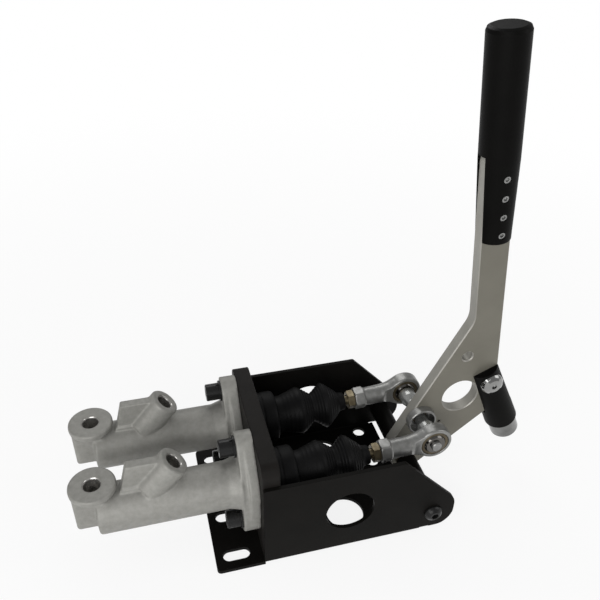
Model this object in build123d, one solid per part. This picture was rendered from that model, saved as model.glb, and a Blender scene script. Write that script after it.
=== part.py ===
from build123d import *
import math
import os

os.makedirs("parts", exist_ok=True)

# Driving dimensions, millimetres and degrees
# X runs from the cylinders to the lever, Y across the frame, Z up from the floor's underside

# Bracket frame
frame_width = 120.0
sheet = 3.0
side_height = 78.0
side_corner_x = 102.8
ledge_length = 34.7
floor_end_x = 124.5
fold_end_x = 121.0
fold_radius = 4.0
notch_depth = 3.2
notch_length = 6.5
window_x = 63.5
window_z = 40.0
window_radius = 18.2
floor_window_x = 70.0
floor_window_y = 32.0
floor_window_radius = 14.5
floor_hole_x = 109.0
floor_hole_radius = 5.0
hole_row_inner = 13.0
hole_row_outer = 48.5
slot_centre_x = -19.0
slot_length = 20.0
slot_width = 9.5

# Pivot of the lever
pivot_x = 130.2
pivot_z = 18.3
ear_radius = 17.0
ear_bottom_z = 1.8
pivot_screw_radius = 4.0
pivot_hole_radius = 4.2
button_radius = 7.0
button_height = 4.4
spacer_radius = 8.0
washer_thickness = 1.6

# Cross plate
plate_thickness = 12.5
plate_top = 94.0
plate_corner = 8.0
plate_chamfer = 0.5
spigot_clearance = 0.1

# Master cylinders
cylinder_y = 30.0
axis_z = 58.5
bore_radius = 9.525
barrel_radius = 17.0
barrel_start_x = -109.5
bore_end_x = -94.0
spigot_radius = 17.4
spigot_end_x = 26.8
flange_thickness = 12.0
flange_lip = 7.0
flange_step = 1.6
flange_core_radius = 20.5
flange_lug_radius = 10.5
bolt_reach = 28.575
bolt_tilt = 18.0
outlet_x = -110.0
outlet_top = 84.0
outlet_disc_radius = 16.0
outlet_disc_height = 5.0
outlet_block_reach = 14.0
outlet_block_half = 9.0
outlet_block_corner = 2.5
outlet_bottom = 51.5
cast_corner = 1.8
port_radius = 5.5
port_depth = 15.0
port_chamfer = 1.2
inlet_face_x = -54.7
inlet_face_z = 92.3
inlet_tilt = 40.0
inlet_radius = 11.25
inlet_length = 28.0
rib_width = 7.0
rib_points = ((-93.0, 70.0), (-91.5, 79.0), (-87.0, 96.5), (-62.0, 96.5), (-57.0, 70.0))
rib_foot_width = 10.0
rib_foot_top = 77.5
feed_x = -62.0

# Screws of the cylinders
screw_radius = 4.0
screw_head_radius = 6.5
screw_head_height = 8.0
spring_washer_thickness = 2.0
plain_washer_radius = 8.0
plain_washer_thickness = 1.6
screw_hole_radius = 4.4

# Pistons and what holds them
piston_radius = 9.48
piston_front_x = -57.0
piston_rear_x = 19.5
cup_centre_x = 8.0
cup_radius = 6.6
cup_play = 1.4
tip_radius = 5.0
seal_radius = 9.5
stop_washer_thickness = 1.5
circlip_thickness = 1.2

# Push rods and rod ends, eye in the lever's bar
eye_x = 137.3
eye_z = 63.7
tip_drop = 0.5
rod_radius = 4.0
rod_thread_end = 21.0
jam_nut_flats = 13.0
jam_nut_thickness = 5.8
jam_nut_chamfer = 0.7
collar_flats = 16.0
collar_corner_radius = 9.0
collar_start = 43.0
collar_end = 34.6
shank_radius = 7.3
flare_start = 21.0
flare_radius = 11.0
head_radius = 13.6
head_half_width = 5.0
head_flat_end = 16.5
head_ramp_end = 19.5
race_outer_radius = 10.8
race_half_width = 4.5
ball_radius = 9.5
ball_half_width = 6.0
bar_radius = 4.0

# Balance bar and bearing in the lever
bar_half_length = 38.5
housing_radius = 8.3
cup_rim_radius = 11.5
cup_rim_bore = 10.0
cup_rim_depth = 6.2
uniball_race_radius = 7.0
uniball_race_half = 3.8
uniball_radius = 6.2
uniball_half = 4.7
ring_thickness = 1.0
ring_groove = 0.5
bar_spacer_neck = 4.8
bar_spacer_radius = 6.6

# Boots
boot_wall = 1.8
boot_collar_start = 13.2
boot_collar_end = 29.0
boot_collar_radius = 20.0
boot_nut_clearance = 2.4
bellows_length = 57.0
bellows_points = (
    (-0.8, 15.0), (3.8, 14.2), (18.6, 18.8), (20.4, 18.8), (29.0, 10.8),
    (30.4, 10.8), (38.6, 18.6), (40.4, 18.6), (50.4, 9.0), (52.2, 7.4), (57.0, 7.2),
)

# Lever
lever_thickness = 10.0
lever_chamfer = 0.8
hub_radius = 12.0
lower_edge_lean = 40.0
foot_left_x = 114.2
foot_left_z = 37.9
bend_x = 170.3
bend_z = 150.3
bend_radius = 20.0
shoulder_x = 197.4
shoulder_z = 106.0
notch_x = 199.6
notch_z = 98.0
heel_x = 207.0
heel_z = 70.0
toe_x = 193.4
toe_z = 55.9
pin_hole_x = 154.7
pin_hole_z = 55.4
pin_hole_radius = 1.5
pin_hole_depth = 3.0
bush_outer_radius = 6.0
bush_flange_radius = 8.0
bush_flange = 1.2
small_hole_x = 169.8
small_hole_z = 118.3
small_hole_radius = 4.2
big_hole_x = 169.5
big_hole_z = 79.0
big_hole_radius = 14.7
arm_base_x = 174.51
arm_base_z = 218.4
arm_lean = 6.45
arm_half_width = 11.0

# Grip along the arm
grip_length = 138.7
grip_radius = 13.3
grip_foot_radius = 11.9
grip_taper_length = 57.0
tongue_length = 66.0
tongue_end_play = 0.5
grip_slot_length = tongue_length + tongue_end_play
slot_play = 0.1
set_screw_first = 6.3
set_screw_pitch = 13.7
set_screw_radius = 2.5

# Stop bar on the lever's lower edge
stop_top_x = 187.6
stop_top_z = 101.5
stop_lean = 24.3
stop_radius = 11.7
stop_end_radius = 13.2
stop_length = 63.0
stop_slot_depth = 46.0
stop_screw_along = 11.2
stop_screw_head_radius = 9.0
foot_radius = 11.5
foot_cylinder = 15.0
foot_dome = 7.5

# Clearance between pieces of different bodies
gap = 0.3


def box(x0, x1, y0, y1, z0, z1):
    solid = Box(x1 - x0, y1 - y0, z1 - z0)
    return Pos((x0 + x1) / 2, (y0 + y1) / 2, (z0 + z1) / 2) * solid


def cyl_x(radius, x0, x1, y, z):
    plane = Plane(origin=(x0, y, z), x_dir=(0, 1, 0), z_dir=(1, 0, 0))
    return extrude(plane * Circle(radius), x1 - x0)


def cyl_y(radius, y0, y1, x, z):
    plane = Plane(origin=(x, y0, z), x_dir=(1, 0, 0), z_dir=(0, 1, 0))
    return extrude(plane * Circle(radius), y1 - y0)


def cyl_z(radius, z0, z1, x, y):
    plane = Plane(origin=(x, y, z0), x_dir=(1, 0, 0), z_dir=(0, 0, 1))
    return extrude(plane * Circle(radius), z1 - z0)


def slab(points, y0, y1):
    # Outline in X and Z, given thickness from y0 to y1
    plane = Plane(origin=(0, y1, 0), x_dir=(1, 0, 0), z_dir=(0, -1, 0))
    return extrude(plane * make_face(Polyline(*points, close=True)), y1 - y0)


def turned_x(points, y, z):
    # Outline of x and radius turned about a line along X
    plane = Plane(origin=(0, y, z), x_dir=(1, 0, 0), z_dir=(0, -1, 0))
    face = plane * make_face(Polyline(*points, close=True))
    return revolve(face, Axis((0, y, z), (1, 0, 0)), 360)


def turned_y(points, x, z):
    # Outline of y and radius turned about a line along Y
    plane = Plane(origin=(x, 0, z), x_dir=(0, 1, 0), z_dir=(1, 0, 0))
    face = plane * make_face(Polyline(*points, close=True))
    return revolve(face, Axis((x, 0, z), (0, 1, 0)), 360)


def hexagon_x(flats, x0, x1, y, z):
    plane = Plane(origin=(x0, y, z), x_dir=(0, 1, 0), z_dir=(1, 0, 0))
    return extrude(plane * RegularPolygon(flats / math.sqrt(3), 6), x1 - x0)


def hexagon_y(flats, y0, y1, x, z):
    plane = Plane(origin=(x, y0, z), x_dir=(1, 0, 0), z_dir=(0, 1, 0))
    return extrude(plane * RegularPolygon(flats / math.sqrt(3), 6), y1 - y0)


def ball(radius, x, y, z):
    return Pos(x, y, z) * Sphere(radius)


def edges_near(solid, test):
    return [e for e in solid.edges() if test(e)]


def save(name, solid):
    solid.label = name
    export_step(solid, "parts/" + name + ".step")


half_width = frame_width / 2
inner_half = half_width - sheet
sides = {"front": -cylinder_y, "rear": cylinder_y}
flange_start_x = -flange_thickness


def bolt_places():
    # Upper and lower screw of each cylinder
    tilt = math.radians(bolt_tilt)
    places = []
    for y in sides.values():
        for sign in (1, -1):
            across = sign * bolt_reach * math.sin(tilt)
            up = sign * bolt_reach * math.cos(tilt)
            places.append((y + across, axis_z + up))
    return places


# Bracket frame
def bracket_frame():
    # Slope from the top corner down to the ear
    right = pivot_x + ear_radius
    slope_end_z = pivot_z + 11.0
    outline = slab(
        [
            (0, 0), (fold_end_x, 0), (fold_end_x, notch_depth),
            (fold_end_x + notch_length, notch_depth), (fold_end_x + notch_length + 2, ear_bottom_z),
            (right, ear_bottom_z), (right, slope_end_z),
            (side_corner_x, side_height), (0, side_height),
        ],
        -half_width, half_width,
    )
    rounded = edges_near(
        outline,
        lambda e: e.geom_type == GeomType.LINE
        and abs(e.center().Y) < 0.1
        and abs(e.center().X - right) < 0.1
        and e.center().Z < slope_end_z + 1,
    )
    outline = fillet(rounded, ear_radius - 1.0)
    corner = edges_near(
        outline,
        lambda e: e.geom_type == GeomType.LINE
        and abs(e.center().Y) < 0.1
        and abs(e.center().Z - side_height) < 0.1,
    )
    outline = fillet(corner, 2.5)
    # Folded channel, rounded along both folds
    shell = box(0, right + 5, -half_width, half_width, 0, side_height + 5)
    folds = edges_near(
        shell, lambda e: abs(e.center().Z) < 0.1 and abs(abs(e.center().Y) - half_width) < 0.1
    )
    shell = fillet(folds, fold_radius)
    hollow = box(-5, right + 10, -inner_half, inner_half, sheet, side_height + 10)
    hollow_folds = edges_near(
        hollow,
        lambda e: abs(e.center().Z - sheet) < 0.1 and abs(abs(e.center().Y) - inner_half) < 0.1,
    )
    hollow = fillet(hollow_folds, fold_radius - sheet)
    channel = (shell - hollow) & outline
    middle = box(fold_end_x - 0.01, right + 5, -inner_half, inner_half, -5, sheet + 5)
    channel = channel - middle
    ledge = box(-ledge_length, 0.5, -half_width, half_width, 0, sheet)
    ledge_corners = edges_near(
        ledge,
        lambda e: abs(e.center().X + ledge_length) < 0.1 and abs(e.center().Z - sheet / 2) < 0.1,
    )
    ledge = fillet(ledge_corners, 3.0)
    floor = box(0, floor_end_x, -inner_half + 0.5, inner_half - 0.5, 0, sheet)
    body = channel + ledge + floor
    body -= cyl_y(window_radius, -half_width - 1, half_width + 1, window_x, window_z)
    body -= cyl_y(pivot_hole_radius, -half_width - 1, half_width + 1, pivot_x, pivot_z)
    for y in (-floor_window_y, floor_window_y):
        body -= cyl_z(floor_window_radius, -1, sheet + 1, floor_window_x, y)
    for row in (hole_row_inner, hole_row_outer):
        for y in (-row, row):
            body -= cyl_z(floor_hole_radius, -1, sheet + 1, floor_hole_x, y)
            slot = Pos(slot_centre_x, y, -1) * extrude(SlotOverall(slot_length, slot_width), sheet + 2)
            body -= slot
    return body


# Cross plate
def cross_plate():
    body = box(0, plate_thickness, -inner_half, inner_half, sheet, plate_top)
    lower = edges_near(
        body,
        lambda e: abs(e.center().Z - sheet) < 0.1 and abs(abs(e.center().Y) - inner_half) < 0.1,
    )
    body = chamfer(lower, fold_radius - sheet + 0.6)
    upper = edges_near(
        body,
        lambda e: abs(e.center().Z - plate_top) < 0.1 and abs(abs(e.center().Y) - inner_half) < 0.1,
    )
    body = fillet(upper, plate_corner)
    faces = edges_near(
        body,
        lambda e: abs(e.center().X) < 0.01 or abs(e.center().X - plate_thickness) < 0.01,
    )
    body = chamfer(faces, plate_chamfer)
    for y in sides.values():
        body -= cyl_x(spigot_radius + spigot_clearance, -1, plate_thickness + 1, y, axis_z)
    for y, z in bolt_places():
        body -= cyl_x(screw_radius, -1, plate_thickness + 1, y, z)
    return body


# Master cylinder castings
def flange(y):
    outer = flange_outline(flange_core_radius, flange_lug_radius)
    inner = flange_outline(flange_core_radius - flange_step, flange_lug_radius)
    lip_plane = Plane(origin=(-flange_lip, y, axis_z), x_dir=(0, 1, 0), z_dir=(1, 0, 0))
    step_plane = Plane(origin=(flange_start_x, y, axis_z), x_dir=(0, 1, 0), z_dir=(1, 0, 0))
    lip = extrude(lip_plane * outer, flange_lip)
    step = extrude(step_plane * inner, flange_thickness - flange_lip + 0.5)
    return lip + step


def flange_outline(core_radius, lug_radius):
    tilt = math.radians(bolt_tilt)
    sketch = Circle(core_radius)
    for sign in (1, -1):
        across = sign * bolt_reach * math.sin(tilt)
        up = sign * bolt_reach * math.cos(tilt)
        lug = Pos(across, up) * Circle(lug_radius)
        sketch = sketch + lug
        # Straight sides from the core to the lug
        reach = (core_radius - lug_radius) / bolt_reach
        lean = math.acos(reach)
        base = math.atan2(up, across)
        near = []
        far = []
        for turn in (lean, -lean):
            near.append((
                core_radius * math.cos(base + turn),
                core_radius * math.sin(base + turn),
            ))
            far.append((
                across + lug_radius * math.cos(base + turn),
                up + lug_radius * math.sin(base + turn),
            ))
        sketch = sketch + make_face(Polyline(near[0], far[0], far[1], near[1], close=True))
    return sketch


def cylinder_body(y):
    barrel = cyl_x(barrel_radius, barrel_start_x, flange_start_x + 1, y, axis_z)
    barrel = fillet(
        edges_near(barrel, lambda e: abs(e.center().X - barrel_start_x) < 0.1), cast_corner
    )
    body = barrel + flange(y)
    # Thicker root where the barrel meets the flange
    root_start = flange_start_x - 9.0
    root = turned_x(
        [
            (root_start, 0), (root_start, barrel_radius - 0.2),
            (flange_start_x - 2.5, barrel_radius + 1.6), (flange_start_x + 0.5, barrel_radius + 2.6),
            (flange_start_x + 0.5, 0),
        ],
        y, axis_z,
    )
    body += root
    body += cyl_x(spigot_radius, -1, spigot_end_x, y, axis_z)
    # Outlet boss
    left = outlet_x - outlet_block_reach
    block = box(
        left, barrel_start_x + 6, y - outlet_block_half, y + outlet_block_half,
        outlet_bottom, outlet_top - 2,
    )
    block = fillet(
        edges_near(block, lambda e: abs(e.center().X - left) < 0.1 and abs(e.center().Y - y) > 1),
        outlet_block_corner,
    )
    block = fillet(
        edges_near(block, lambda e: abs(e.center().Z - outlet_bottom) < 0.1), 1.0
    )
    disc = cyl_z(outlet_disc_radius, outlet_top - outlet_disc_height, outlet_top, outlet_x, y)
    disc = fillet(edges_near(disc, lambda e: e.length > outlet_disc_radius), 1.2)
    body = body + block + disc
    # Web rib with its wider foot on the barrel
    body += slab(rib_points, y - rib_width / 2, y + rib_width / 2)
    foot_start_x = rib_points[0][0]
    foot_end_x = rib_points[-1][0]
    body += box(
        foot_start_x, foot_end_x, y - rib_foot_width / 2, y + rib_foot_width / 2,
        axis_z + 5, rib_foot_top,
    )
    # Inlet boss
    lean = math.radians(inlet_tilt)
    out = (math.sin(lean), 0, math.cos(lean))
    foot = (inlet_face_x - inlet_length * out[0], y, inlet_face_z - inlet_length * out[2])
    plane = Plane(origin=foot, x_dir=(0, 1, 0), z_dir=out)
    boss = extrude(plane * Circle(inlet_radius), inlet_length)
    boss = fillet(
        edges_near(boss, lambda e: e.center().Z > inlet_face_z - 1), 1.2
    )
    body += boss
    # Bore, spigot groove and fluid ways
    body -= cyl_x(bore_radius, bore_end_x, spigot_end_x + 1, y, axis_z)
    groove = stop_face_x() + stop_washer_thickness + 0.2
    body -= cyl_x(bore_radius + 0.8, groove, groove + circlip_thickness + 0.2, y, axis_z)
    body -= cyl_z(port_radius, outlet_top - port_depth, outlet_top + 1, outlet_x, y)
    mouth = Pos(outlet_x, y, outlet_top - port_chamfer / 2) * Cone(
        port_radius, port_radius + port_chamfer, port_chamfer
    )
    body -= mouth
    body -= cyl_z(2.5, axis_z - 1, outlet_top - port_depth + 1, outlet_x, y)
    body -= cyl_x(2.5, outlet_x - 1, bore_end_x + 1, y, axis_z)
    face = Plane(origin=(inlet_face_x, y, inlet_face_z), x_dir=(0, 1, 0), z_dir=out)
    body -= extrude(face * Circle(port_radius), -port_depth)
    body -= extrude(face * Circle(port_radius + port_chamfer), -port_chamfer, taper=45)
    body -= cyl_z(1.6, axis_z + 5, inlet_face_z - port_depth * out[2] + 2, feed_x, y)
    for place_y, place_z in bolt_places():
        if abs(place_y - y) < bolt_reach:
            body -= cyl_x(screw_hole_radius, flange_start_x - 8, 1, place_y, place_z)
            body -= cyl_x(
                plain_washer_radius + 0.6, flange_start_x - 12, flange_start_x, place_y, place_z
            )
    return body


def stop_face_x():
    # Face of the washer that holds the piston at rest
    return piston_rear_x + 0.3


# Screws of the cylinders with their washers
def cylinder_screws():
    parts = []
    head_end = flange_start_x - plain_washer_thickness - spring_washer_thickness
    head_start = head_end - screw_head_height
    for y, z in bolt_places():
        head = cyl_x(screw_head_radius, head_start, head_end, y, z)
        head = chamfer(edges_near(head, lambda e: abs(e.center().X - head_start) < 0.1), 0.6)
        shank = cyl_x(screw_radius - 0.05, head_end - 1, plate_thickness, y, z)
        socket = hexagon_x(6.0, head_start - 1, head_start + 4.5, y, z)
        parts.append(head + shank - socket)
    return Compound(children=parts)


def washer_set(start_x, thickness, outer, inner):
    parts = []
    for y, z in bolt_places():
        ring = cyl_x(outer, start_x, start_x + thickness, y, z)
        parts.append(ring - cyl_x(inner, start_x - 1, start_x + thickness + 1, y, z))
    return Compound(children=parts)


def screw_spring_washers():
    start = flange_start_x - plain_washer_thickness - spring_washer_thickness
    parts = []
    for y, z in bolt_places():
        ring = cyl_x(screw_head_radius, start, start + spring_washer_thickness, y, z)
        ring -= cyl_x(screw_radius + 0.2, start - 1, start + spring_washer_thickness + 1, y, z)
        ring -= Pos(start + 1, y, z + 5.5) * Rot(25, 0, 0) * Box(6, 1.0, 5)
        parts.append(ring)
    return Compound(children=parts)


def screw_washers():
    start = flange_start_x - plain_washer_thickness
    return washer_set(start, plain_washer_thickness, plain_washer_radius, screw_radius + 0.3)


# Pistons, seals and springs inside the bores
def piston(y):
    front = piston_front_x
    rear = piston_rear_x
    body = turned_x(
        [
            (front, 0), (front, piston_radius), (front + 3, piston_radius), (front + 3, 6.5),
            (-4, 6.5), (-4, piston_radius), (0.0, piston_radius), (0.0, 7.9), (3.4, 7.9),
            (3.4, piston_radius), (rear, piston_radius), (rear, 0),
        ],
        y, axis_z,
    )
    nose = cyl_x(4.5, front - 3.0, front + 1, y, axis_z)
    body += nose
    floor_x = cup_centre_x - tip_radius - cup_play
    body -= cyl_x(cup_radius, floor_x, rear + 1, y, axis_z)
    return body


def primary_seal(y):
    front = piston_front_x
    return turned_x(
        [
            (front - 3.0, 4.6), (front, 4.6), (front, seal_radius - 0.3),
            (front - 2.6, seal_radius), (front - 3.0, seal_radius - 0.8), (front - 1.4, 6.4),
        ],
        y, axis_z,
    )


def secondary_seal(y):
    return turned_x(
        [(0.2, 8.0), (3.2, 8.0), (3.2, seal_radius - 0.2), (1.7, seal_radius), (0.2, seal_radius - 0.2)],
        y, axis_z,
    )


def return_spring(y):
    wire = 1.6
    start = bore_end_x + wire / 2 + 0.1
    end = piston_front_x - 3.3 - wire / 2
    turns = 5.0
    length = end - start
    path = Helix(pitch=length / turns, height=length, radius=7.2)
    plane = Plane(origin=(start, y, axis_z), x_dir=(0, 1, 0), z_dir=(1, 0, 0))
    wire_path = plane * path
    section = Plane(origin=wire_path @ 0, z_dir=wire_path % 0) * Circle(wire / 2)
    return sweep(section, path=wire_path)


def stop_washer(y):
    start = stop_face_x()
    ring = cyl_x(bore_radius - 0.1, start, start + stop_washer_thickness, y, axis_z)
    return ring - cyl_x(cup_radius, start - 1, start + stop_washer_thickness + 1, y, axis_z)


def circlip(y):
    start = stop_face_x() + stop_washer_thickness + 0.3
    ring = cyl_x(bore_radius + 0.7, start, start + circlip_thickness, y, axis_z)
    ring -= cyl_x(7.8, start - 1, start + circlip_thickness + 1, y, axis_z)
    ring -= box(start - 1, start + circlip_thickness + 1, y - 2.5, y + 2.5, axis_z - 12, axis_z - 4)
    return ring


# Boots
def rod_angle():
    length = math.hypot(eye_x - cup_centre_x, eye_z - axis_z)
    return math.degrees(math.asin((eye_z - axis_z + tip_drop) / length))


def rod_length():
    return math.hypot(eye_x - cup_centre_x, eye_z - axis_z)


def along_rod(solid):
    # Turns a piece drawn along X through the eye onto the rod's own line
    return Pos(eye_x, 0, eye_z) * Rot(0, -rod_angle(), 0) * Pos(-eye_x, 0, -eye_z) * solid


def boot(y):
    collar = turned_x(
        [
            (boot_collar_start, spigot_radius + 0.1), (boot_collar_start, boot_collar_radius - 0.8),
            (boot_collar_start + 0.8, boot_collar_radius),
            (boot_collar_end - 2.0, boot_collar_radius),
            (boot_collar_end, boot_collar_radius - 2.5), (boot_collar_end, 12.5),
            (boot_collar_end - 1.9, 12.5), (boot_collar_end - 1.9, spigot_radius + 0.1),
        ],
        y, axis_z,
    )
    # The bellows reach from the collar to just short of the nut
    neck_end = eye_x - collar_start - jam_nut_thickness - boot_nut_clearance
    stretch = (neck_end - boot_collar_end) / bellows_length
    outer = [(boot_collar_end + along * stretch, r) for along, r in bellows_points]
    inner = [(x, r - boot_wall) for x, r in outer]
    inner[0] = (outer[0][0], outer[0][1] - boot_wall)
    inner[-1] = (outer[-1][0], rod_radius + 0.35)
    inner[-2] = (outer[-2][0], rod_radius + 0.35)
    profile = outer + inner[::-1]
    bellows = turned_x(profile, y, eye_z)
    return collar + along_rod(bellows)


# Push rods, nuts and rod ends
def pushrod(y):
    tip_x = eye_x - rod_length()
    rod = cyl_x(rod_radius - 0.05, tip_x, eye_x - rod_thread_end, y, eye_z)
    rod = rod + ball(tip_radius, tip_x, y, eye_z)
    rod = chamfer(
        edges_near(rod, lambda e: abs(e.center().X - eye_x + rod_thread_end) < 0.1), 0.7
    )
    return along_rod(rod)


def jam_nut(y):
    end = eye_x - collar_start - 0.1
    start = end - jam_nut_thickness
    corner = jam_nut_flats / math.sqrt(3)
    nut = hexagon_x(jam_nut_flats, start, end, y, eye_z)
    turned = turned_x(
        [
            (start, 0), (start, corner - 1.2), (start + jam_nut_chamfer, corner),
            (end - jam_nut_chamfer, corner), (end, corner - 1.2), (end, 0),
        ],
        y, eye_z,
    )
    nut = nut & turned
    nut -= cyl_x(rod_radius, start - 1, end + 1, y, eye_z)
    return along_rod(nut)


def rod_end(y):
    head = cyl_y(head_radius, y - head_half_width, y + head_half_width, eye_x, eye_z)
    head = chamfer(
        edges_near(head, lambda e: abs(abs(e.center().Y - y) - head_half_width) < 0.1), 0.9
    )
    start = eye_x - collar_start
    end = eye_x - collar_end
    collar = hexagon_x(collar_flats, start, end, y, eye_z)
    corner = collar_corner_radius
    collar &= turned_x(
        [
            (start, 0), (start, corner - 1.0), (start + 0.8, corner),
            (end - 1.0, corner), (end, corner - 1.4), (end, 0),
        ],
        y, eye_z,
    )
    # Round shank, flared into the head
    shank = turned_x(
        [
            (end - 0.5, 0), (end - 0.5, shank_radius), (eye_x - flare_start, shank_radius),
            (eye_x - flare_start + 4, shank_radius + 0.5), (eye_x - 13, shank_radius + 1.5),
            (eye_x - 8.5, flare_radius), (eye_x - 6, flare_radius + 0.8), (eye_x - 6, 0),
        ],
        y, eye_z,
    )
    # Flats of the head run out towards the shank
    wide = collar_corner_radius + 2
    flats = make_face(
        Polyline(
            (start - 1, y - wide), (eye_x - head_ramp_end, y - wide),
            (eye_x - head_ramp_end, y - shank_radius - 0.1), (eye_x - head_flat_end, y - head_half_width),
            (eye_x + head_radius + 1, y - head_half_width),
            (eye_x + head_radius + 1, y + head_half_width), (eye_x - head_flat_end, y + head_half_width),
            (eye_x - head_ramp_end, y + shank_radius + 0.1), (eye_x - head_ramp_end, y + wide),
            (start - 1, y + wide), close=True,
        )
    )
    plan = Pos(0, 0, eye_z - 20) * extrude(flats, 40)
    body = (collar + shank) & plan
    body = body + head
    body -= cyl_x(rod_radius, start - 1, eye_x - 15.5, y, eye_z)
    body -= cyl_y(
        race_outer_radius + 0.03, y - head_half_width - 4, y + head_half_width + 4, eye_x, eye_z
    )
    return along_rod(body)


def rod_race(y):
    ring = turned_y(
        [
            (y - race_half_width, 5.8), (y - race_half_width, race_outer_radius - 0.4),
            (y - race_half_width + 0.4, race_outer_radius),
            (y + race_half_width - 0.4, race_outer_radius),
            (y + race_half_width, race_outer_radius - 0.4), (y + race_half_width, 5.8),
        ],
        eye_x, eye_z,
    )
    return ring - ball(ball_radius + 0.04, eye_x, y, eye_z)


def rod_ball(y):
    body = ball(ball_radius, eye_x, y, eye_z)
    body = body & cyl_y(ball_radius + 1, y - ball_half_width, y + ball_half_width, eye_x, eye_z)
    return body - cyl_y(bar_radius, y - 12, y + 12, eye_x, eye_z)


# Balance bar with the bearing in the lever
def balance_bar():
    rod = cyl_y(bar_radius, -bar_half_length, bar_half_length, eye_x, eye_z)
    return chamfer(
        edges_near(rod, lambda e: abs(abs(e.center().Y) - bar_half_length) < 0.1), 0.6
    )


def uniball_ball():
    body = ball(uniball_radius, eye_x, 0, eye_z)
    body = body & cyl_y(uniball_radius + 1, -uniball_half, uniball_half, eye_x, eye_z)
    return body - cyl_y(bar_radius, -uniball_half - 1, uniball_half + 1, eye_x, eye_z)


def uniball_race():
    half = uniball_race_half
    inner = math.sqrt(uniball_radius ** 2 - half ** 2) - 0.5
    ring = turned_y(
        [
            (-half, inner), (-half, uniball_race_radius), (half, uniball_race_radius), (half, inner),
        ],
        eye_x, eye_z,
    )
    return ring - ball(uniball_radius + 0.04, eye_x, 0, eye_z)


def uniball_housing():
    # Thin barrel through the lever with a wider rim on the lever's front
    half = lever_thickness / 2
    front = -half - cup_rim_depth
    tube = cyl_y(housing_radius, -half - 0.5, half, eye_x, eye_z)
    rim = cyl_y(cup_rim_radius, front, -half, eye_x, eye_z)
    rim = chamfer(edges_near(rim, lambda e: abs(e.center().Y - front) < 0.1), 0.5)
    tube += rim
    tube -= cyl_y(uniball_race_radius, -half - 2, half + 1, eye_x, eye_z)
    tube -= cyl_y(cup_rim_bore, front - 1, -half - 0.6, eye_x, eye_z)
    for sign in (-1, 1):
        near = uniball_race_half + 0.05
        low = min(sign * near, sign * (near + ring_thickness + 0.05))
        high = max(sign * near, sign * (near + ring_thickness + 0.05))
        tube -= cyl_y(uniball_race_radius + ring_groove, low, high, eye_x, eye_z)
    return tube


def uniball_ring(sign):
    near = uniball_race_half + 0.07
    low = min(sign * near, sign * (near + ring_thickness))
    high = max(sign * near, sign * (near + ring_thickness))
    ring = cyl_y(uniball_race_radius + ring_groove - 0.1, low, high, eye_x, eye_z)
    ring -= cyl_y(uniball_race_radius - 1.0, low - 1, high + 1, eye_x, eye_z)
    eye_up = uniball_race_radius - 0.9
    for side in (-1, 1):
        ring += cyl_y(0.9, low, high, eye_x + side * 2.0, eye_z + eye_up)
    for side in (-1, 1):
        ring -= cyl_y(0.4, low - 1, high + 1, eye_x + side * 2.0, eye_z + eye_up)
    ring -= box(eye_x - 0.9, eye_x + 0.9, low - 1, high + 1, eye_z + 4, eye_z + 9)
    return ring


def bar_spacer(sign):
    # Narrow inside the bearing's rim, full width beside the rod end
    near = uniball_half
    far = cylinder_y - ball_half_width
    half = lever_thickness / 2
    radius = bar_spacer_radius
    profile = [
        (near, bar_radius), (near, bar_spacer_neck), (half + cup_rim_depth, bar_spacer_neck),
        (far - 8, radius), (far - 1.2, radius), (far, radius - 1.2), (far, bar_radius),
    ]
    return turned_y([(sign * along, r) for along, r in profile], eye_x, eye_z)


# Lever
def arm_point(along, across):
    # Place on the arm, along its axis from the grip's foot and across it
    lean = math.radians(arm_lean)
    x = arm_base_x - along * math.sin(lean) + across * math.cos(lean)
    z = arm_base_z + along * math.cos(lean) + across * math.sin(lean)
    return x, z


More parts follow.
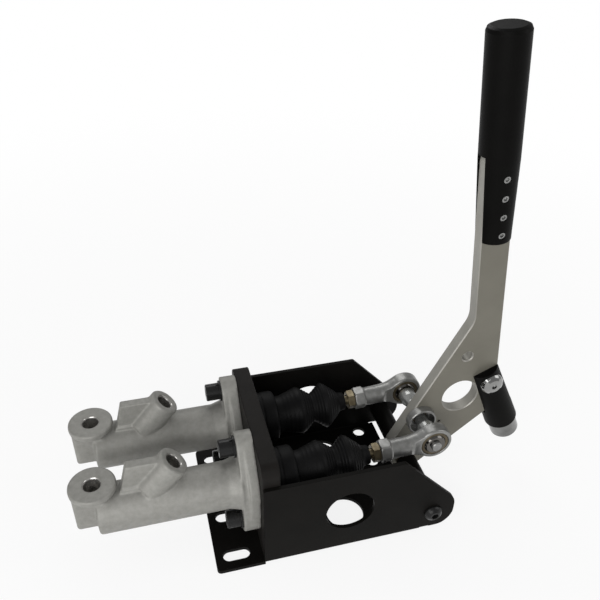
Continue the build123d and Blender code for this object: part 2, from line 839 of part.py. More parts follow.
def lever_plate():
    half = lever_thickness / 2
    top_left = arm_point(tongue_length - arm_half_width, -arm_half_width)
    top_right = arm_point(tongue_length - arm_half_width, arm_half_width)
    # The lower edge leaves the round hub as its tangent
    lean = math.radians(lower_edge_lean)
    hub_low_x = pivot_x + hub_radius * math.sin(lean)
    hub_low_z = pivot_z - hub_radius * math.cos(lean)
    outline = [
        (pivot_x - hub_radius, pivot_z), (foot_left_x, foot_left_z), (bend_x, bend_z),
        top_left, top_right, (shoulder_x, shoulder_z), (notch_x, notch_z),
        (heel_x, heel_z), (toe_x, toe_z), (hub_low_x, hub_low_z),
    ]
    plate = slab(outline, -half, half)
    kink = edges_near(
        plate,
        lambda e: abs(e.center().Y) < 0.1
        and abs(e.center().X - bend_x) < 0.2
        and abs(e.center().Z - bend_z) < 0.2,
    )
    plate = fillet(kink, bend_radius)
    foot = edges_near(
        plate,
        lambda e: abs(e.center().Y) < 0.1
        and abs(e.center().X - foot_left_x) < 0.2
        and abs(e.center().Z - foot_left_z) < 0.2,
    )
    plate = fillet(foot, 8.0)
    crown = arm_point(tongue_length - arm_half_width, 0)
    plate += cyl_y(arm_half_width, -half, half, crown[0], crown[1])
    plate += cyl_y(hub_radius, -half, half, pivot_x, pivot_z)
    rims = edges_near(
        plate,
        lambda e: abs(abs(e.center().Y) - half) < 0.01 and e.center().Z < arm_base_z - 2,
    )
    plate = chamfer(rims, lever_chamfer)
    plate -= cyl_y(pin_hole_radius, -half - 1, -half + pin_hole_depth, pin_hole_x, pin_hole_z)
    plate -= cyl_y(small_hole_radius, -half - 1, half + 1, small_hole_x, small_hole_z)
    plate -= cyl_y(big_hole_radius, -half - 1, half + 1, big_hole_x, big_hole_z)
    hole_rims = edges_near(
        plate,
        lambda e: e.geom_type == GeomType.CIRCLE
        and abs(abs(e.center().Y) - half) < 0.01
        and min(abs(e.radius - big_hole_radius), abs(e.radius - small_hole_radius)) < 0.01,
    )
    plate = chamfer(hole_rims, lever_chamfer)
    plate -= cyl_y(housing_radius, -half - 1, half + 1, eye_x, eye_z)
    plate -= cyl_y(bush_outer_radius, -half - 1, half + 1, pivot_x, pivot_z)
    screw = stop_point(stop_screw_along)
    plate -= cyl_y(3.2, -half - 1, half + 1, screw[0], screw[1])
    for place in set_screw_places():
        plate -= cyl_y(1.2, -half - 0.1, -half + 1.5, place[0], place[1])
    return plate


def pivot_bush(sign):
    half = lever_thickness / 2
    low = min(sign * 0.4, sign * half)
    high = max(sign * 0.4, sign * half)
    sleeve = cyl_y(bush_outer_radius, low, high, pivot_x, pivot_z)
    low = min(sign * half, sign * (half + bush_flange))
    high = max(sign * half, sign * (half + bush_flange))
    rim = cyl_y(bush_flange_radius, low, high, pivot_x, pivot_z)
    bore = cyl_y(pivot_screw_radius + 0.05, -half - 5, half + 5, pivot_x, pivot_z)
    return sleeve + rim - bore


def pivot_spacer(sign):
    start = lever_thickness / 2 + bush_flange + gap
    end = inner_half - 0.05
    low = min(sign * start, sign * end)
    high = max(sign * start, sign * end)
    tube = cyl_y(spacer_radius, low, high, pivot_x, pivot_z)
    return tube - cyl_y(pivot_screw_radius + 0.1, low - 1, high + 1, pivot_x, pivot_z)


def pivot_bolt():
    start = -half_width - 0.05
    shank_end = half_width + washer_thickness + 9.0
    shank = cyl_y(pivot_screw_radius, start - 1, shank_end, pivot_x, pivot_z)
    shank = chamfer(edges_near(shank, lambda e: abs(e.center().Y - shank_end) < 0.1), 0.7)
    top = start - button_height
    head = turned_y(
        [
            (start, 0), (start, button_radius), (start - 1.2, button_radius),
            (start - 2.6, button_radius - 0.8), (start - 3.6, button_radius - 2.0),
            (top, button_radius - 3.2), (top, 0),
        ],
        pivot_x, pivot_z,
    )
    body = shank + head
    return body - hexagon_y(5.0, top - 1, top + 2.6, pivot_x, pivot_z)


def pivot_nut():
    start = half_width + 0.1 + washer_thickness
    nut = hexagon_y(13.0, start, start + 6.5, pivot_x, pivot_z)
    return nut - cyl_y(pivot_screw_radius + 0.02, start - 1, start + 8, pivot_x, pivot_z)


def pivot_washer():
    start = half_width + 0.05
    ring = cyl_y(8.0, start, start + washer_thickness, pivot_x, pivot_z)
    return ring - cyl_y(pivot_screw_radius + 0.2, start - 1, start + 4, pivot_x, pivot_z)


# Grip
def set_screw_places():
    return [arm_point(set_screw_first + set_screw_pitch * i, 0) for i in range(4)]


def grip():
    profile = [
        (0, 0), (grip_foot_radius, 0), (grip_radius, grip_taper_length),
        (grip_radius, grip_length - 3.0), (grip_radius - 0.9, grip_length - 0.9),
        (grip_radius - 3.0, grip_length), (0, grip_length),
    ]
    lean = math.radians(arm_lean)
    up = (-math.sin(lean), 0, math.cos(lean))
    frame = Plane(origin=(arm_base_x, 0, arm_base_z), x_dir=(0, -1, 0), z_dir=up)
    side = Plane(origin=(0, 0, 0), x_dir=(1, 0, 0), z_dir=(0, -1, 0))
    body = revolve(side * make_face(Polyline(*profile, close=True)), Axis.Z, 360)
    body = frame.location * body
    half = lever_thickness / 2 + slot_play
    reach = grip_slot_length - arm_half_width
    crown = arm_point(reach, 0)
    slot_half = grip_radius + 3
    corners = [
        arm_point(-3, -slot_half), arm_point(-3, slot_half),
        arm_point(reach, slot_half), arm_point(reach, -slot_half),
    ]
    body -= slab(corners, -half, half)
    crown_cut = cyl_y(arm_half_width + 0.1, -half, half, crown[0], crown[1])
    side_fill = [
        arm_point(reach - 1, -slot_half), arm_point(reach - 1, slot_half),
        arm_point(reach + arm_half_width * 0.55, slot_half),
        arm_point(reach + arm_half_width * 0.55, -slot_half),
    ]
    body -= crown_cut
    body -= slab(side_fill, -half, half)
    for place in set_screw_places():
        body -= cyl_y(set_screw_radius, -grip_radius - 1, -half + 1, place[0], place[1])
    return body


def grip_set_screws():
    parts = []
    half = lever_thickness / 2
    for i, place in enumerate(set_screw_places()):
        along = set_screw_first + set_screw_pitch * i
        radius = grip_foot_radius + (grip_radius - grip_foot_radius) * along / grip_taper_length
        start = -radius + 0.7
        screw = cyl_y(set_screw_radius - 0.05, start, -half - 0.2, place[0], place[1])
        screw -= hexagon_y(2.5, start - 1, start + 2.2, place[0], place[1])
        screw += cyl_y(1.1, -half - 0.5, -half + 1.3, place[0], place[1])
        parts.append(screw)
    return Compound(children=parts)


# Stop bar with its screw and foot
def stop_point(along):
    lean = math.radians(stop_lean)
    return stop_top_x + along * math.sin(lean), stop_top_z - along * math.cos(lean)


def stop_plane(along):
    lean = math.radians(stop_lean)
    x, z = stop_point(along)
    return Plane(origin=(x, 0, z), x_dir=(0, 1, 0), z_dir=(math.sin(lean), 0, -math.cos(lean)))


def stop_bar():
    taper = Polyline(
        (0, 0), (stop_radius, 0), (stop_end_radius, stop_length), (0, stop_length), close=True
    )
    side = Plane(origin=(0, 0, 0), x_dir=(1, 0, 0), z_dir=(0, -1, 0))
    body = stop_plane(0).location * revolve(side * make_face(taper), Axis.Z, 360)
    half = lever_thickness / 2 + slot_play
    tool = extrude(stop_plane(-3) * Rectangle(half * 2, stop_end_radius * 4), stop_slot_depth + 3)
    body -= tool
    screw = stop_point(stop_screw_along)
    body -= cyl_y(4.1, -20, 20, screw[0], screw[1])
    body -= cyl_y(
        stop_screw_head_radius + 0.1, -stop_radius - 4, -stop_radius + 2.2, screw[0], screw[1]
    )
    body -= extrude(stop_plane(stop_length - 12) * Circle(4.0), 14)
    return body


def stop_bar_screw():
    screw = stop_point(stop_screw_along)
    seat = -stop_radius + 2.1
    radius = stop_screw_head_radius
    head = turned_y(
        [
            (seat, 0), (seat, radius), (seat - 1.4, radius), (seat - 3.2, radius - 1.2),
            (seat - 4.5, radius - 3.4), (seat - 5.0, radius - 5.6), (seat - 5.0, 0),
        ],
        screw[0], screw[1],
    )
    head -= hexagon_y(4.0, seat - 6, seat - 2.6, screw[0], screw[1])
    shank = cyl_y(3.15, seat - 1, 9.6, screw[0], screw[1])
    return head + shank


def stop_foot():
    base = stop_length + 0.1
    rim = extrude(stop_plane(base) * Circle(foot_radius), foot_cylinder)
    dome_radius = (foot_radius ** 2 + foot_dome ** 2) / (2 * foot_dome)
    centre = stop_point(base + foot_cylinder + foot_dome - dome_radius)
    dome = ball(dome_radius, centre[0], 0, centre[1])
    keep = extrude(stop_plane(base + foot_cylinder - 0.2) * Circle(foot_radius), foot_dome + 1)
    stud = extrude(stop_plane(base - 11) * Circle(3.95), 13)
    return rim + (dome & keep) + stud


save("bracket_frame", bracket_frame())
save("cross_plate", cross_plate())
save("cylinder_screws", cylinder_screws())
save("screw_spring_washers", screw_spring_washers())
save("screw_washers", screw_washers())
for side_name, side_y in sides.items():
    save(side_name + "_cylinder_body", cylinder_body(side_y))
    save(side_name + "_piston", piston(side_y))
    save(side_name + "_primary_seal", primary_seal(side_y))
    save(side_name + "_secondary_seal", secondary_seal(side_y))
    save(side_name + "_return_spring", return_spring(side_y))
    save(side_name + "_stop_washer", stop_washer(side_y))
    save(side_name + "_circlip", circlip(side_y))
    save(side_name + "_boot", boot(side_y))
    save(side_name + "_pushrod", pushrod(side_y))
    save(side_name + "_jam_nut", jam_nut(side_y))
    save(side_name + "_rod_end", rod_end(side_y))
    save(side_name + "_race", rod_race(side_y))
    save(side_name + "_rod_ball", rod_ball(side_y))
for side_name, side_sign in (("front", -1), ("rear", 1)):
    save(side_name + "_uniball_ring", uniball_ring(side_sign))
    save(side_name + "_bar_spacer", bar_spacer(side_sign))
    save(side_name + "_pivot_bush", pivot_bush(side_sign))
    save(side_name + "_pivot_spacer", pivot_spacer(side_sign))
save("balance_bar", balance_bar())
save("uniball_ball", uniball_ball())
save("uniball_race", uniball_race())
save("uniball_housing", uniball_housing())
save("lever_plate", lever_plate())
save("pivot_bolt", pivot_bolt())
save("pivot_nut", pivot_nut())
save("pivot_washer", pivot_washer())
save("grip", grip())
save("grip_set_screws", grip_set_screws())
save("stop_bar", stop_bar())
save("stop_bar_screw", stop_bar_screw())
save("stop_foot", stop_foot())
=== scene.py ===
import math

import bpy
from mathutils import Matrix, Vector


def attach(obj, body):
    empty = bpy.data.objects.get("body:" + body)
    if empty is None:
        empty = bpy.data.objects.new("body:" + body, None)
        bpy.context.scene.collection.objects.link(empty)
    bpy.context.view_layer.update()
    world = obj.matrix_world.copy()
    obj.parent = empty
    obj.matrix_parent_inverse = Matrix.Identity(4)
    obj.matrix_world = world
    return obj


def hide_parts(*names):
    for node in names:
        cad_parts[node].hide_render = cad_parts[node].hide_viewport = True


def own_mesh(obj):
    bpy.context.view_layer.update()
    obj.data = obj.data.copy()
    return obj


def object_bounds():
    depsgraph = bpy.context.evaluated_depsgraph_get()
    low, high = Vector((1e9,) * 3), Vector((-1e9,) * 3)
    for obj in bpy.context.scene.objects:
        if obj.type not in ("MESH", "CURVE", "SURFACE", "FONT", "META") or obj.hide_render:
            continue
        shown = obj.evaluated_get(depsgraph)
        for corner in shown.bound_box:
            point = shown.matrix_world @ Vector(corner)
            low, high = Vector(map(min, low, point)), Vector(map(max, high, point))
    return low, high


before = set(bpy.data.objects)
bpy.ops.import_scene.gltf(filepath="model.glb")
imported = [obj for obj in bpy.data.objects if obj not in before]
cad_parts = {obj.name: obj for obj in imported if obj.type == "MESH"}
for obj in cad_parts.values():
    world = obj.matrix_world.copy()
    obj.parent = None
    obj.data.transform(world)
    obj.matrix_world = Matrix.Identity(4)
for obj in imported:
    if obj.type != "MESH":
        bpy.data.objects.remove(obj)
cad_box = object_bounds()

MM = 0.001

# Places shared by several pieces, millimetres
CYLINDER_Y = {"front": -30.0, "rear": 30.0}
AXIS_Z = 58.5
EYE = (137.3, 63.7)
TIP = (8.0, 58.0)
ROD_ANGLE = math.atan2(EYE[1] - TIP[1], EYE[0] - TIP[0])

# The lever's arm leans, and its plate's corners are broken
LEVER_TURN = (0, math.radians(6.45), 0)
LEVER_CHAMFER = 0.8

# The castings' machined holes: mouth, depth and radius
PORT_RADIUS = 6.2
PORT_DEPTH = 16.0
OUTLET_MOUTH = (-110.0, 84.0)
INLET_MOUTH = (-54.7, 92.3)
INLET_LEAN = math.radians(40.0)
BORE_MOUTH_X = 27.0
BORE_RADIUS = 10.0
BORE_DEPTH = 130.0

# The camera, as fitted to the photo
CAMERA_YAW = 0.26906
CAMERA_PITCH = 0.59876
CAMERA_ROLL = 0.01676
CAMERA_PLACE = (-0.06084, -0.36413, 0.44545)
SENSOR_WIDTH = 36.0
PICTURE_PIXELS = 600.0
FOCAL_PIXELS = 692.66


# Helpers for modelling

def deselect():
    if bpy.context.object and bpy.context.object.mode != "OBJECT":
        bpy.ops.object.mode_set(mode="OBJECT")
    bpy.ops.object.select_all(action="DESELECT")


def pick(piece):
    deselect()
    piece.select_set(True)
    bpy.context.view_layer.objects.active = piece


def settle(piece):
    # Puts the place, turn and size of a piece into its mesh
    pick(piece)
    bpy.ops.object.transform_apply(location=True, rotation=True, scale=True)


def outward(piece):
    pick(piece)
    bpy.ops.object.mode_set(mode="EDIT")
    bpy.ops.mesh.select_all(action="SELECT")
    bpy.ops.mesh.remove_doubles(threshold=0.00001)
    bpy.ops.mesh.normals_make_consistent(inside=False)
    bpy.ops.object.mode_set(mode="OBJECT")


def apply_modifier(piece, kind, **settings):
    pick(piece)
    modifier = piece.modifiers.new(kind.lower(), kind)
    for key, value in settings.items():
        setattr(modifier, key, value)
    bpy.ops.object.modifier_apply(modifier=modifier.name)


def smooth(piece, degrees):
    pick(piece)
    bpy.ops.object.shade_smooth_by_angle(angle=math.radians(degrees))


def merged_copy(node, name):
    # A piece of its own from a CAD node's loose triangles, merged
    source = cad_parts[node]
    piece = bpy.data.objects.new(name, source.data.copy())
    bpy.context.scene.collection.objects.link(piece)
    piece.matrix_world = source.matrix_world
    settle(piece)
    outward(piece)
    return piece


def stand_for(piece, node, finish, body):
    # The piece takes the CAD node's place in the picture and moves with its body
    piece.data.materials.clear()
    piece.data.materials.append(finish)
    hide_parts(node)
    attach(piece, body)


# Materials

def new_finish(name):
    finish = bpy.data.materials.new(name)
    finish.use_nodes = True
    tree = finish.node_tree
    shader = tree.nodes["Principled BSDF"]
    place = tree.nodes.new("ShaderNodeTexCoord")
    return finish, tree, shader, place


def mapped(tree, place, scale=(1, 1, 1), turn=(0, 0, 0)):
    mapping = tree.nodes.new("ShaderNodeMapping")
    mapping.inputs["Scale"].default_value = scale
    mapping.inputs["Rotation"].default_value = turn
    tree.links.new(place.outputs["Object"], mapping.inputs["Vector"])
    return mapping.outputs["Vector"]


def cloud(tree, vector, scale, detail=4.0, roughness=0.55):
    noise = tree.nodes.new("ShaderNodeTexNoise")
    noise.inputs["Scale"].default_value = scale
    noise.inputs["Detail"].default_value = detail
    noise.inputs["Roughness"].default_value = roughness
    tree.links.new(vector, noise.inputs["Vector"])
    return noise.outputs["Fac"]


def spread(tree, value, low, high, start=0.3, end=0.7):
    ramp = tree.nodes.new("ShaderNodeMapRange")
    ramp.inputs["From Min"].default_value = start
    ramp.inputs["From Max"].default_value = end
    ramp.inputs["To Min"].default_value = low
    ramp.inputs["To Max"].default_value = high
    tree.links.new(value, ramp.inputs["Value"])
    return ramp.outputs["Result"]


def two_tone(tree, value, dark, light, start=0.3, end=0.7):
    ramp = tree.nodes.new("ShaderNodeValToRGB")
    ramp.color_ramp.elements[0].position = start
    ramp.color_ramp.elements[0].color = (*dark, 1)
    ramp.color_ramp.elements[1].position = end
    ramp.color_ramp.elements[1].color = (*light, 1)
    tree.links.new(value, ramp.inputs["Fac"])
    return ramp.outputs["Color"]


def relief(tree, shader, height, strength, depth, edge=0.0):
    # Fine grain, over corners that catch the light as if rounded to the edge's radius
    bump = tree.nodes.new("ShaderNodeBump")
    bump.inputs["Strength"].default_value = strength
    bump.inputs["Distance"].default_value = depth
    tree.links.new(height, bump.inputs["Height"])
    if edge:
        rounded = tree.nodes.new("ShaderNodeBevel")
        rounded.samples = 4
        rounded.inputs["Radius"].default_value = edge
        tree.links.new(rounded.outputs["Normal"], bump.inputs["Normal"])
    tree.links.new(bump.outputs["Normal"], shader.inputs["Normal"])


def metal_finish(name, dark, light, metallic, rough, grain, depth, edge=0.0003, stretch=(1, 1, 1),
                 turn=(0, 0, 0), patch=40.0, gloss=0.5):
    finish, tree, shader, place = new_finish(name)
    shader.inputs["Metallic"].default_value = metallic
    shader.inputs["Specular IOR Level"].default_value = gloss
    broad = cloud(tree, mapped(tree, place), patch, 5.0)
    fine = cloud(tree, mapped(tree, place, stretch, turn), grain, 3.0, 0.6)
    tree.links.new(two_tone(tree, broad, dark, light), shader.inputs["Base Color"])
    tree.links.new(spread(tree, fine, rough[0], rough[1]), shader.inputs["Roughness"])
    relief(tree, shader, fine, 0.5, depth, edge)
    return finish


black_coat = metal_finish(
    "black satin coat", dark=(0.0042, 0.0039, 0.0034), light=(0.0062, 0.0057, 0.0049), metallic=0.0,
    rough=(0.44, 0.56), grain=900.0, depth=0.00004, edge=0.0004, gloss=0.05
)
plate_coat = metal_finish(
    "black plate coat", dark=(0.0082, 0.0073, 0.0066), light=(0.0120, 0.0108, 0.0097), metallic=0.0,
    rough=(0.46, 0.60), grain=1100.0, depth=0.00005, edge=0.0005, gloss=0.09
)
cast_skin = metal_finish(
    "cast aluminium skin", dark=(0.238, 0.235, 0.217), light=(0.292, 0.288, 0.267), metallic=0.35,
    rough=(0.48, 0.66), grain=1500.0, depth=0.00020, edge=0.0, patch=260.0, gloss=0.4
)
machined = metal_finish(
    "machined aluminium", dark=(0.40, 0.39, 0.37), light=(0.50, 0.49, 0.47), metallic=0.9,
    rough=(0.24, 0.34), grain=1500.0, depth=0.00004
)
blasted_lever = metal_finish(
    "blasted lever aluminium", dark=(0.146, 0.138, 0.113), light=(0.173, 0.165, 0.136), metallic=0.35,
    rough=(0.43, 0.54), grain=2400.0, depth=0.00003, stretch=(1, 1, 0.25), turn=LEVER_TURN, patch=25.0,
    gloss=0.4
)
grip_black = metal_finish(
    "black grip", dark=(0.0028, 0.0027, 0.0025), light=(0.0042, 0.0040, 0.0037), metallic=0.0,
    rough=(0.38, 0.48), grain=1400.0, depth=0.00003, edge=0.0004, gloss=0.04
)
screw_black = metal_finish(
    "black oxide screws", dark=(0.009, 0.009, 0.009), light=(0.015, 0.015, 0.015), metallic=0.3,
    rough=(0.24, 0.36), grain=1200.0, depth=0.00003, gloss=0.3
)
socket_steel = metal_finish(
    "bright set screws", dark=(0.22, 0.22, 0.215), light=(0.32, 0.32, 0.315), metallic=0.9,
    rough=(0.22, 0.32), grain=1200.0, depth=0.00002, edge=0.0002
)
rod_silver = metal_finish(
    "silver rod ends", dark=(0.20, 0.20, 0.192), light=(0.29, 0.29, 0.282), metallic=0.7,
    rough=(0.30, 0.44), grain=1300.0, depth=0.00005, edge=0.0005, patch=220.0
)
spacer_grey = metal_finish(
    "pale spacer aluminium", dark=(0.36, 0.365, 0.355), light=(0.44, 0.445, 0.43), metallic=0.8,
    rough=(0.24, 0.34), grain=1300.0, depth=0.00004, edge=0.0004
)
yellow_zinc = metal_finish(
    "yellow zinc", dark=(0.115, 0.092, 0.055), light=(0.195, 0.165, 0.105), metallic=0.75,
    rough=(0.28, 0.42), grain=900.0, depth=0.00003, patch=160.0
)
# Chrome with its colour darkened: a painted dark reflection of darker surroundings, over a small random tone
chrome = metal_finish(
    "chrome", dark=(0.24, 0.24, 0.235), light=(0.32, 0.32, 0.315), metallic=1.0,
    rough=(0.08, 0.14), grain=700.0, depth=0.00001, edge=0.0005
)
# The foot's chrome is darker still: a painted dark reflection in its colour
foot_chrome = metal_finish(
    "chrome foot", dark=(0.15, 0.15, 0.147), light=(0.24, 0.24, 0.235), metallic=1.0,
    rough=(0.10, 0.18), grain=700.0, depth=0.00001, edge=0.0005, patch=90.0
)
# The balls' chrome colour is darkened most: a painted dark reflection of dark surroundings
chrome_painted_dark = metal_finish(
    "chrome ball painted dark", dark=(0.105, 0.100, 0.094), light=(0.150, 0.143, 0.134), metallic=1.0,
    rough=(0.10, 0.18), grain=700.0, depth=0.00001
)
brass = metal_finish(
    "brown brass", dark=(0.085, 0.068, 0.042), light=(0.140, 0.115, 0.075), metallic=0.8,
    rough=(0.3, 0.45), grain=900.0, depth=0.00003, patch=120.0
)
spring_steel = metal_finish(
    "spring steel", dark=(0.10, 0.10, 0.10), light=(0.16, 0.16, 0.16), metallic=0.9,
    rough=(0.3, 0.4), grain=900.0, depth=0.00002, edge=0.0002
)


def rubber_finish():
    finish, tree, shader, place = new_finish("boot rubber")
    shader.inputs["Specular IOR Level"].default_value = 0.1
    broad = cloud(tree, mapped(tree, place), 60.0, 5.0)
    fine = cloud(tree, mapped(tree, place), 1500.0, 2.0)
    tree.links.new(
        two_tone(tree, broad, (0.0032, 0.0032, 0.0034), (0.0062, 0.0062, 0.0064)), shader.inputs["Base Color"]
    )
    tree.links.new(spread(tree, broad, 0.42, 0.58), shader.inputs["Roughness"])
    relief(tree, shader, fine, 0.35, 0.00004)
    return finish


boot_rubber = rubber_finish()


def worked_out(tree, operation, *terms):
    # One step of arithmetic on node outputs and plain numbers
    step = tree.nodes.new("ShaderNodeMath")
    step.operation = operation
    for socket, term in zip(step.inputs, terms):
        if isinstance(term, float):
            socket.default_value = term
        else:
            tree.links.new(term, socket)
    return step.outputs[0]


def change_tone(tree, share, inner, outer):
    mix = tree.nodes.new("ShaderNodeMixRGB")
    tree.links.new(share, mix.inputs["Fac"])
    tree.links.new(inner, mix.inputs["Color1"])
    tree.links.new(outer, mix.inputs["Color2"])
    return mix.outputs["Color"]


def painted_edge_light(finish, plate, chamfer):
    # A plate's cut sides are painted lighter than its flats, a painted sheen as if lit from the upper left,
    # and its broken corners are painted bright, a painted highlight, and made smoother.
    # Each is found by its distance from the plate's middle.
    half = max(abs(corner.co.y) for corner in plate.data.vertices)
    near = 0.02 * MM
    tree = finish.node_tree
    shader = tree.nodes["Principled BSDF"]
    flats = shader.inputs["Base Color"].links[0].from_socket
    rough = shader.inputs["Roughness"].links[0].from_socket
    place = tree.nodes.new("ShaderNodeTexCoord")
    vector = mapped(tree, place)
    broad = cloud(tree, vector, 40.0, 5.0)
    # Painted sheen on the cut sides and painted highlight on the broken corners
    sides = two_tone(tree, broad, (0.270, 0.262, 0.236), (0.325, 0.316, 0.286))
    corner_highlight = two_tone(tree, broad, (0.29, 0.28, 0.255), (0.35, 0.34, 0.31))
    split = tree.nodes.new("ShaderNodeSeparateXYZ")
    tree.links.new(vector, split.inputs["Vector"])
    distance = worked_out(tree, "ABSOLUTE", split.outputs["Y"])
    past_side = worked_out(tree, "GREATER_THAN", distance, half - chamfer * MM + near)
    on_flat = worked_out(tree, "GREATER_THAN", distance, half - near)
    outer = change_tone(tree, past_side, sides, corner_highlight)
    tree.links.new(change_tone(tree, on_flat, outer, flats), shader.inputs["Base Color"])
    on_corner = worked_out(tree, "SUBTRACT", past_side, on_flat)
    tree.links.new(worked_out(tree, "MULTIPLY_ADD", on_corner, -0.08, rough), shader.inputs["Roughness"])


# The lever's cut sides and broken corners get painted sheen and painted highlight
painted_edge_light(blasted_lever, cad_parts["lever_plate"], LEVER_CHAMFER)

NODE_FINISH = {
    "bracket_frame": black_coat, "cross_plate": plate_coat, "cylinder_screws": screw_black,
    "screw_spring_washers": screw_black, "screw_washers": screw_black, "pivot_bolt": screw_black,
    "pivot_nut": screw_black, "pivot_washer": screw_black, "lever_plate": blasted_lever,
    "grip": grip_black, "grip_set_screws": socket_steel, "stop_bar": grip_black, "stop_bar_screw": chrome,
    "stop_foot": foot_chrome, "uniball_housing": rod_silver, "uniball_race": brass,
    "uniball_ball": chrome_painted_dark, "balance_bar": rod_silver,
}
SIDE_FINISH = {
    "cylinder_body": cast_skin, "piston": machined, "primary_seal": boot_rubber,
    "secondary_seal": boot_rubber, "return_spring": spring_steel, "stop_washer": rod_silver,
    "circlip": spring_steel, "boot": boot_rubber, "pushrod": yellow_zinc, "jam_nut": yellow_zinc,
    "rod_end": rod_silver, "race": brass, "rod_ball": chrome_painted_dark, "uniball_ring": spring_steel,
    "bar_spacer": spacer_grey, "pivot_bush": brass, "pivot_spacer": black_coat,
}


def dress_cad():
    finishes = dict(NODE_FINISH)
    for side in CYLINDER_Y:
        for part, finish in SIDE_FINISH.items():
            finishes[side + "_" + part] = finish
    for name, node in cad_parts.items():
        node.material_slots[0].material = finishes[name]


dress_cad()


# Boots and springs

# The collar's profile: place along the axis and radius
COLLAR_RINGS = (
    (13.2, 17.6), (13.2, 19.3), (13.9, 20.0), (17.0, 20.0), (17.6, 19.6), (18.4, 19.6), (19.0, 20.0),
    (26.4, 20.0), (28.2, 19.2), (29.0, 17.4), (29.0, 15.6), (28.9, 13.0), (27.2, 13.0), (27.1, 17.6),
)


def bellows_rings():
    # Place and radius of each ridge and valley along the rod, with fine steps on each long flank
    turns = ((28.6, 15.0), (32.8, 14.1), (48.5, 18.8), (58.7, 10.8), (68.5, 18.6), (79.6, 9.0))
    rings = []
    for (x0, r0), (x1, r1) in zip(turns, turns[1:]):
        steps = 5 if abs(r1 - r0) > 3 else 1
        for i in range(steps):
            share = i / steps
            x = x0 + (x1 - x0) * share
            r = r0 + (r1 - r0) * share
            rings.append((x, r))
            if steps > 1 and i > 0:
                rings.append((x + 0.45, r + 0.3))
                rings.append((x + 0.95, r + 0.2 * (1 if r1 > r0 else -1)))
    neck = [(79.6, 8.8), (81.2, 7.4), (84.9, 7.3), (85.8, 6.8), (86.0, 5.6), (85.9, 4.4)]
    return rings + neck


def ringed(name, rings, y, z, closed=False, sides=96):
    # One circle, extruded ring by ring along X
    deselect()
    first_x, first_r = rings[0]
    bpy.ops.mesh.primitive_circle_add(
        vertices=sides, radius=first_r * MM, fill_type="NOTHING",
        location=(first_x * MM, y * MM, z * MM), rotation=(0, math.pi / 2, 0)
    )
    piece = bpy.context.object
    piece.name = name
    settle(piece)
    bpy.ops.object.mode_set(mode="EDIT")
    bpy.ops.mesh.select_all(action="SELECT")
    for (x0, r0), (x1, r1) in zip(rings, rings[1:]):
        bpy.ops.mesh.extrude_region_move(TRANSFORM_OT_translate={"value": ((x1 - x0) * MM, 0, 0)})
        ratio = r1 / r0
        bpy.ops.transform.resize(
            value=(1, ratio, ratio), center_override=(x1 * MM, y * MM, z * MM)
        )
    if closed:
        bpy.ops.mesh.select_all(action="DESELECT")
        bpy.ops.mesh.select_non_manifold()
        bpy.ops.mesh.bridge_edge_loops()
    bpy.ops.object.mode_set(mode="OBJECT")
    outward(piece)
    return piece


def add_boot(side):
    y = CYLINDER_Y[side]
    collar = ringed(side + "_boot_collar", COLLAR_RINGS, y, AXIS_Z, closed=True)
    apply_modifier(collar, "BEVEL", width=0.0004, segments=2, limit_method="ANGLE")
    smooth(collar, 50)
    stand_for(collar, side + "_boot", boot_rubber, "frame")
    bellows = ringed(side + "_boot_bellows", bellows_rings(), y, EYE[1])
    apply_modifier(bellows, "SOLIDIFY", thickness=0.0014, offset=-1.0)
    eye = Vector((EYE[0] * MM, 0, EYE[1] * MM))
    turn = (
        Matrix.Translation(eye) @ Matrix.Rotation(-ROD_ANGLE, 4, "Y") @ Matrix.Translation(-eye)
    )
    bellows.matrix_world = turn @ bellows.matrix_world
    settle(bellows)
    apply_modifier(bellows, "SUBSURF", levels=1, render_levels=1)
    smooth(bellows, 60)
    stand_for(bellows, side + "_boot", boot_rubber, "frame")
    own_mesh(bellows)


def add_spring(side):
    # The coil between the bore's end and the piston, a smoothed copy of its CAD node, fixed to the frame
    coil = merged_copy(side + "_return_spring", side + "_coil_spring")
    smooth(coil, 60)
    stand_for(coil, side + "_return_spring", spring_steel, "frame")
    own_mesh(coil)


for side in CYLINDER_Y:
    add_boot(side)
for side in CYLINDER_Y:
    add_spring(side)


# Castings and forgings, softened like the real ones

def in_hole(point, mouth, direction, radius, depth):
    # Whether a point lies in a round hole that goes in from its mouth against the direction
    away = point - mouth
    along = away.dot(direction)
    return -depth < along < 0.4 * MM and (away - direction * along).length < radius


def bare_holes(piece, holes):
    piece.data.materials.append(machined)
    for face in piece.data.polygons:
        if any(in_hole(face.center, *hole) for hole in holes):
            face.material_index = 1


def soft_copy(node, name, grain, rounds, finish, body):
    # The node's own solid with an even skin and its hard corners worn round
    piece = merged_copy(node, name)
    apply_modifier(piece, "REMESH", mode="VOXEL", voxel_size=grain * MM)
    apply_modifier(piece, "SMOOTH", factor=0.5, iterations=rounds)
    smooth(piece, 60)
    stand_for(piece, node, finish, body)
    return piece


def machined_holes(y):
    upright = Vector((0, 0, 1))
    leaning = Vector((math.sin(INLET_LEAN), 0, math.cos(INLET_LEAN)))
    level = Vector((1, 0, 0))
    outlet = Vector((OUTLET_MOUTH[0], y, OUTLET_MOUTH[1])) * MM
    inlet = Vector((INLET_MOUTH[0], y, INLET_MOUTH[1])) * MM
    bore = Vector((BORE_MOUTH_X, y, AXIS_Z)) * MM
    return (
        (outlet, upright, PORT_RADIUS * MM, PORT_DEPTH * MM),
        (inlet, leaning, PORT_RADIUS * MM, PORT_DEPTH * MM),
        (bore, level, BORE_RADIUS * MM, BORE_DEPTH * MM),
    )


for side, y in CYLINDER_Y.items():
    casting = soft_copy(
        side + "_cylinder_body", side + "_casting", 0.7, 7, cast_skin, "frame"
    )
    bare_holes(casting, machined_holes(y))
    soft_copy(side + "_rod_end", side + "_forged_rod_end", 0.4, 3, rod_silver, side + "_rod")


# Studio

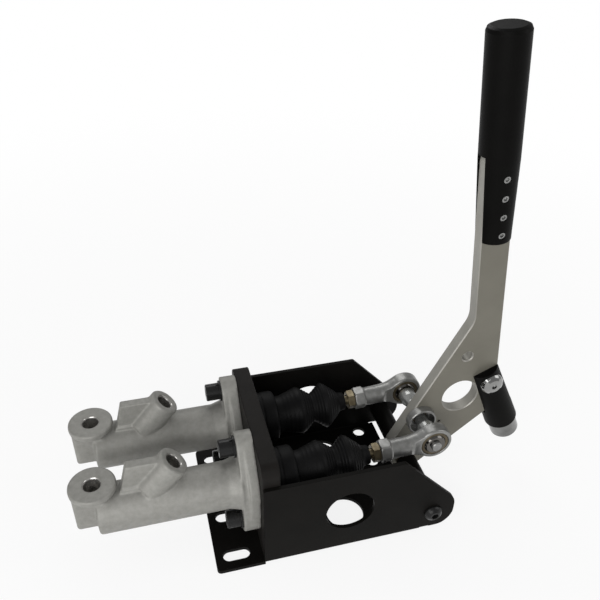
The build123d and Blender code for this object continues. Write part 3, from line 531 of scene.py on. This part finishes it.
def camera():
    forward = Vector((
        math.sin(CAMERA_YAW) * math.cos(CAMERA_PITCH), math.cos(CAMERA_YAW) * math.cos(CAMERA_PITCH),
        -math.sin(CAMERA_PITCH)
    ))
    level = Vector((math.cos(CAMERA_YAW), -math.sin(CAMERA_YAW), 0))
    rise = level.cross(forward)
    right = math.cos(CAMERA_ROLL) * level + math.sin(CAMERA_ROLL) * rise
    up = -math.sin(CAMERA_ROLL) * level + math.cos(CAMERA_ROLL) * rise
    data = bpy.data.cameras.new("camera")
    data.sensor_width = SENSOR_WIDTH
    data.lens = FOCAL_PIXELS * SENSOR_WIDTH / PICTURE_PIXELS
    data.clip_start = 0.01
    view = bpy.data.objects.new("camera", data)
    bpy.context.scene.collection.objects.link(view)
    turn = Matrix((right, up, -forward)).transposed().to_4x4()
    view.matrix_world = Matrix.Translation(Vector(CAMERA_PLACE)) @ turn
    bpy.context.scene.camera = view


def lamp(name, place, target, size, power):
    data = bpy.data.lights.new(name, "AREA")
    data.shape = "RECTANGLE"
    data.size, data.size_y = size
    data.energy = power
    light = bpy.data.objects.new(name, data)
    bpy.context.scene.collection.objects.link(light)
    aim = Vector(target) - Vector(place)
    turn = aim.to_track_quat("-Z", "Y").to_matrix().to_4x4()
    light.matrix_world = Matrix.Translation(Vector(place)) @ turn


def paper_finish():
    # White paper that shows the object's shadow faintly, and turns to plain white away from it
    finish, tree, shader, place = new_finish("white paper floor")
    shader.inputs["Base Color"].default_value = (0.9, 0.9, 0.9, 1)
    shader.inputs["Roughness"].default_value = 0.9
    shader.inputs["Specular IOR Level"].default_value = 0.1
    rays = tree.nodes.new("ShaderNodeLightPath")
    seen = worked_out(tree, "MAXIMUM", rays.outputs["Is Camera Ray"], rays.outputs["Is Glossy Ray"])
    seen = worked_out(tree, "MAXIMUM", seen, rays.outputs["Is Transmission Ray"])
    reach = tree.nodes.new("ShaderNodeVectorMath")
    reach.operation = "LENGTH"
    tree.links.new(mapped(tree, place), reach.inputs[0])
    white = tree.nodes.new("ShaderNodeMapRange")
    white.interpolation_type = "SMOOTHSTEP"
    white.inputs["From Min"].default_value = 0.2
    white.inputs["From Max"].default_value = 1.0
    white.inputs["To Min"].default_value = 0.86
    white.inputs["To Max"].default_value = 1.0
    tree.links.new(reach.outputs["Value"], white.inputs["Value"])
    share = worked_out(tree, "MULTIPLY", seen, white.outputs["Result"])
    glow = tree.nodes.new("ShaderNodeEmission")
    mix = tree.nodes.new("ShaderNodeMixShader")
    tree.links.new(share, mix.inputs["Fac"])
    tree.links.new(shader.outputs["BSDF"], mix.inputs[1])
    tree.links.new(glow.outputs["Emission"], mix.inputs[2])
    tree.links.new(mix.outputs["Shader"], tree.nodes["Material Output"].inputs["Surface"])
    return finish


def floor():
    deselect()
    bpy.ops.mesh.primitive_plane_add(size=8, location=(0.05, 0, min(cad_box[0][2], 0.0) - 0.5 * MM))
    sheet = bpy.context.object
    sheet.name = "floor"
    settle(sheet)
    sheet.data.materials.append(paper_finish())


def surroundings():
    # White to look at, and dimmer as a light
    world = bpy.data.worlds.new("studio")
    bpy.context.scene.world = world
    world.use_nodes = True
    tree = world.node_tree
    sky = tree.nodes["Background"]
    sky.inputs["Color"].default_value = (1, 1, 1, 1)
    rays = tree.nodes.new("ShaderNodeLightPath")
    level = tree.nodes.new("ShaderNodeMapRange")
    level.inputs["To Min"].default_value = 0.42
    level.inputs["To Max"].default_value = 1.0
    tree.links.new(rays.outputs["Is Camera Ray"], level.inputs["Value"])
    tree.links.new(level.outputs["Result"], sky.inputs["Strength"])


camera()
floor()
surroundings()
lamp("key lamp", place=(-0.60, -1.00, 0.50), target=(0.05, 0, 0.08), size=(1.1, 0.8), power=11.5)
lamp("side lamp", place=(0.95, -0.35, 0.65), target=(0.10, 0, 0.12), size=(0.5, 0.7), power=2.0)
lamp("back lamp", place=(0.1, 0.9, 0.9), target=(0.05, 0, 0.08), size=(0.8, 0.4), power=3.0)
bpy.context.scene.view_settings.view_transform = "Standard"
